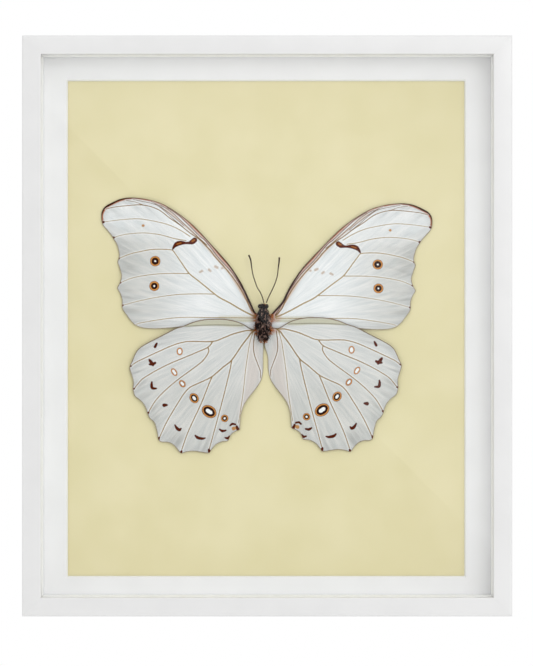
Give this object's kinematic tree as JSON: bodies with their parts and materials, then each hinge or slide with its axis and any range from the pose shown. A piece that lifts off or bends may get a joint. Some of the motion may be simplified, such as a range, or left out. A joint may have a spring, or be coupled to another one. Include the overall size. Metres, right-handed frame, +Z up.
{
  "type": "framed butterfly specimen",
  "caption": "White spread butterfly shown belly out in a shallow white box frame with mat, cream board and glass; hangs by a sawtooth strip.",
  "frame": {"origin": "the hanging point: the middle notch of the sawtooth hanger, on the wall's plane", "axes": "+Z up along the frame's height, +Y into the wall, +X to the viewer's right; the glass faces -Y"},
  "size_m": [0.1844, 0.023, 0.2186],
  "materials": {
    "white_lacquered_wood": "satin white lacquer",
    "float_glass": "clear polished",
    "white_mat_card": "matte",
    "cream_board": "matte, cream yellow",
    "brown_hardboard": "raw, pressed",
    "kraft_paper": "matte brown",
    "zinc_steel": "bright zinc",
    "bumper_rubber": "soft grey",
    "wing_scales": "matte white scales, tan veins, orange and brown eyespots",
    "body_fur": "dark brown hair"
  },
  "bodies": {
    "root": {"rail_top": "white_lacquered_wood", "rail_bottom": "white_lacquered_wood", "rail_left": "white_lacquered_wood", "rail_right": "white_lacquered_wood", "glass": "float_glass", "spacer_top": "white_mat_card", "spacer_bottom": "white_mat_card", "spacer_left": "white_mat_card", "spacer_right": "white_mat_card", "mat": "white_mat_card", "mount_board": "cream_board", "back_panel": "brown_hardboard", "dust_cover": "kraft_paper", "sawtooth_hanger": "zinc_steel", "hanger_nail_left": "zinc_steel", "hanger_nail_right": "zinc_steel", "bumper_left": "bumper_rubber", "bumper_right": "bumper_rubber", "forewing_left": "wing_scales", "forewing_right": "wing_scales", "hindwing_left": "wing_scales", "hindwing_right": "wing_scales", "head": "body_fur", "thorax": "body_fur", "abdomen": "body_fur", "antenna_left": "body_fur", "antenna_right": "body_fur", "mounting_pin": "zinc_steel"}
  },
  "joints": []
}
